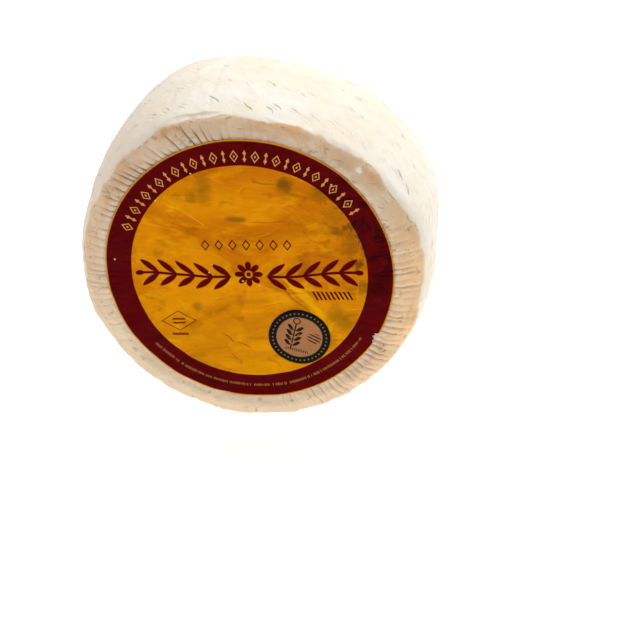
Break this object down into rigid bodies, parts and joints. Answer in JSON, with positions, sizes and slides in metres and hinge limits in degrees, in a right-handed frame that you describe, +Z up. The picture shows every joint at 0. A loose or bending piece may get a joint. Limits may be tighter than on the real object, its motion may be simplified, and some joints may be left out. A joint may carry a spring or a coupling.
{
  "type": "goat cheese",
  "caption": "Whole drum of goat cheese standing on its side, with pleated rims, a plait pattern round the side, a round paper label and a small seal.",
  "frame": {"origin": "on the floor, under the middle of the drum", "axes": "+Z up, Y along the drum's axis with the labelled face looking along -Y, +X to the right of someone who looks at the label"},
  "size_m": [0.174, 0.0915, 0.172],
  "materials": {
    "rind": "dry, slightly waxy cheese rind, whiter round the side than on the faces",
    "label_paper": "printed paper, an amber disc in a dark red ring",
    "seal_paper": "printed paper, a nearly black ring round a tan disc"
  },
  "bodies": {
    "root": {"cheese": "rind", "label": "label_paper", "seal": "seal_paper"}
  },
  "joints": []
}
